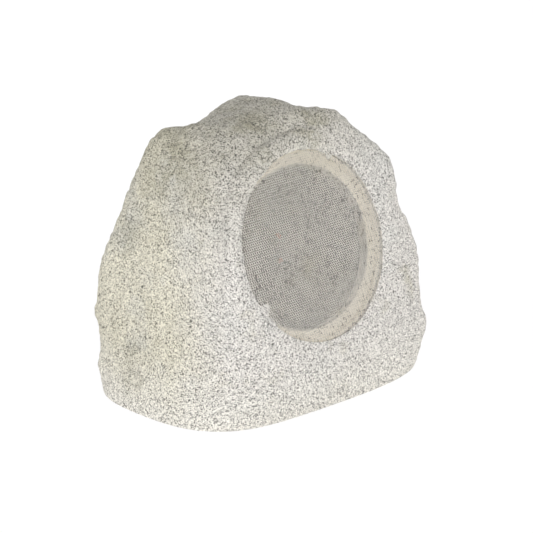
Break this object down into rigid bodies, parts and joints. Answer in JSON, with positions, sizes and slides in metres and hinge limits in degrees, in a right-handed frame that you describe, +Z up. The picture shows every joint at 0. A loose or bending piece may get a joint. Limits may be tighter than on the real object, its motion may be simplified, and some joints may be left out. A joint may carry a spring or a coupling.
{
  "type": "rock shaped garden loudspeaker",
  "caption": "Outdoor loudspeaker hidden in a hollow granite look boulder, with a round perforated grille, a two way driver behind it, a crossover and a sealed base plate with a cable gland.",
  "frame": {"origin": "middle of the boulder's footprint, on the ground", "axes": "+Z up; the grille faces -Y and leans back; +X is to the right of someone who faces the grille"},
  "size_m": [0.3452, 0.2691, 0.3121],
  "materials": {
    "rock_shell": "speckled granite paint on moulded resin",
    "mounting_ring": "bare resin, hand laid",
    "grille": "perforated steel in the same speckled paint",
    "base_plate": "moulded, fine grain",
    "base_gasket": "matt foam rubber",
    "base_screws": "bright zinc",
    "gland_body": "moulded nylon",
    "gland_locknut": "moulded nylon",
    "gland_seal": "matt",
    "gland_nut": "moulded nylon",
    "driver_frame": "black powder coat",
    "driver_gasket": "matt foam",
    "driver_screws": "zinc",
    "surround": "satin",
    "cone": "coated pulp, matt",
    "spider": "resin dipped cloth",
    "voice_coil": "enamelled copper wire",
    "top_plate": "zinc",
    "magnet": "sintered ferrite, matt",
    "back_plate": "zinc",
    "tweeter_post": "moulded",
    "tweeter_housing": "moulded",
    "tweeter_magnet": "nickel plate",
    "tweeter_dome": "coated silk",
    "terminal_strip": "laminate with tinned tags",
    "lead_wires": "braided copper",
    "crossover_board": "laminate with solder mask",
    "board_posts": "nylon",
    "board_screws": "zinc",
    "capacitors": "film wrap",
    "inductors": "enamelled copper wire on black spools",
    "resistor": "matt",
    "input_block": "moulded, screw terminals",
    "driver_wires": "insulated wire, red and black"
  },
  "bodies": {
    "enclosure": {"rock_shell": "rock_shell", "mounting_ring": "mounting_ring", "grille": "grille", "base_plate": "base_plate", "base_gasket": "base_gasket", "base_screws": "base_screws", "gland_body": "gland_body", "gland_locknut": "gland_locknut", "gland_seal": "gland_seal", "gland_nut": "gland_nut", "driver_frame": "driver_frame", "driver_gasket": "driver_gasket", "driver_screws": "driver_screws", "surround": "surround", "spider": "spider", "top_plate": "top_plate", "magnet": "magnet", "back_plate": "back_plate", "tweeter_post": "tweeter_post", "tweeter_housing": "tweeter_housing", "tweeter_magnet": "tweeter_magnet", "tweeter_dome": "tweeter_dome", "terminal_strip": "terminal_strip", "lead_wires": "lead_wires", "crossover_board": "crossover_board", "board_posts": "board_posts", "board_screws": "board_screws", "capacitors": "capacitors", "inductors": "inductors", "resistor": "resistor", "input_block": "input_block", "driver_wires": "driver_wires"},
    "cone_assembly": {"cone": "cone", "voice_coil": "voice_coil"}
  },
  "joints": [
    {"name": "cone_travel", "type": "slide", "parent": "enclosure", "child": "cone_assembly", "axis": [0, -0.9511, 0.309], "range_m": [-0.004, 0.004], "stiffness_N_per_m": 1500, "deforming": ["surround", "spider", "lead_wires"]}
  ]
}
